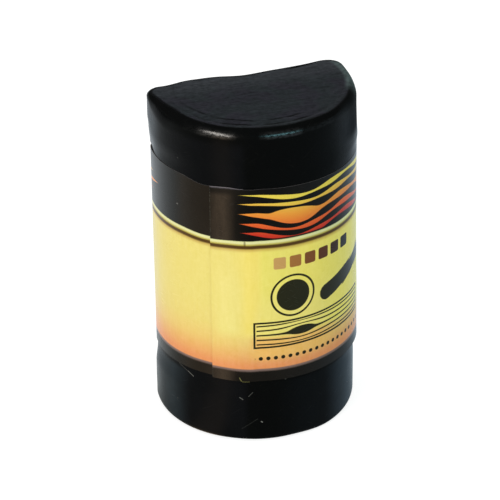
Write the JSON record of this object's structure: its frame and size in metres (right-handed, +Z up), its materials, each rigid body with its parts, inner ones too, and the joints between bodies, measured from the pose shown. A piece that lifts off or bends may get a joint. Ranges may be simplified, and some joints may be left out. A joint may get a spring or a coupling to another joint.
{
  "type": "furniture repair wax stick",
  "caption": "Short crescent-section stick of black filler wax for mending scratched furniture, with a printed adhesive label wrapped round its middle and lapped at a seam beside the front.",
  "frame": {"origin": "centre of the flat base, on the surface that the stick stands on", "axes": "+Z up the stick, -Y out of its round front, +Y out of its grooved back, +X to the right seen from the front"},
  "size_m": [0.026, 0.0172, 0.0438],
  "materials": {
    "wax": "satin",
    "adhesive": "satin",
    "label_print": "satin"
  },
  "bodies": {
    "root": {"wax_stick": "wax", "label_adhesive": "adhesive", "label": "label_print"}
  },
  "joints": []
}
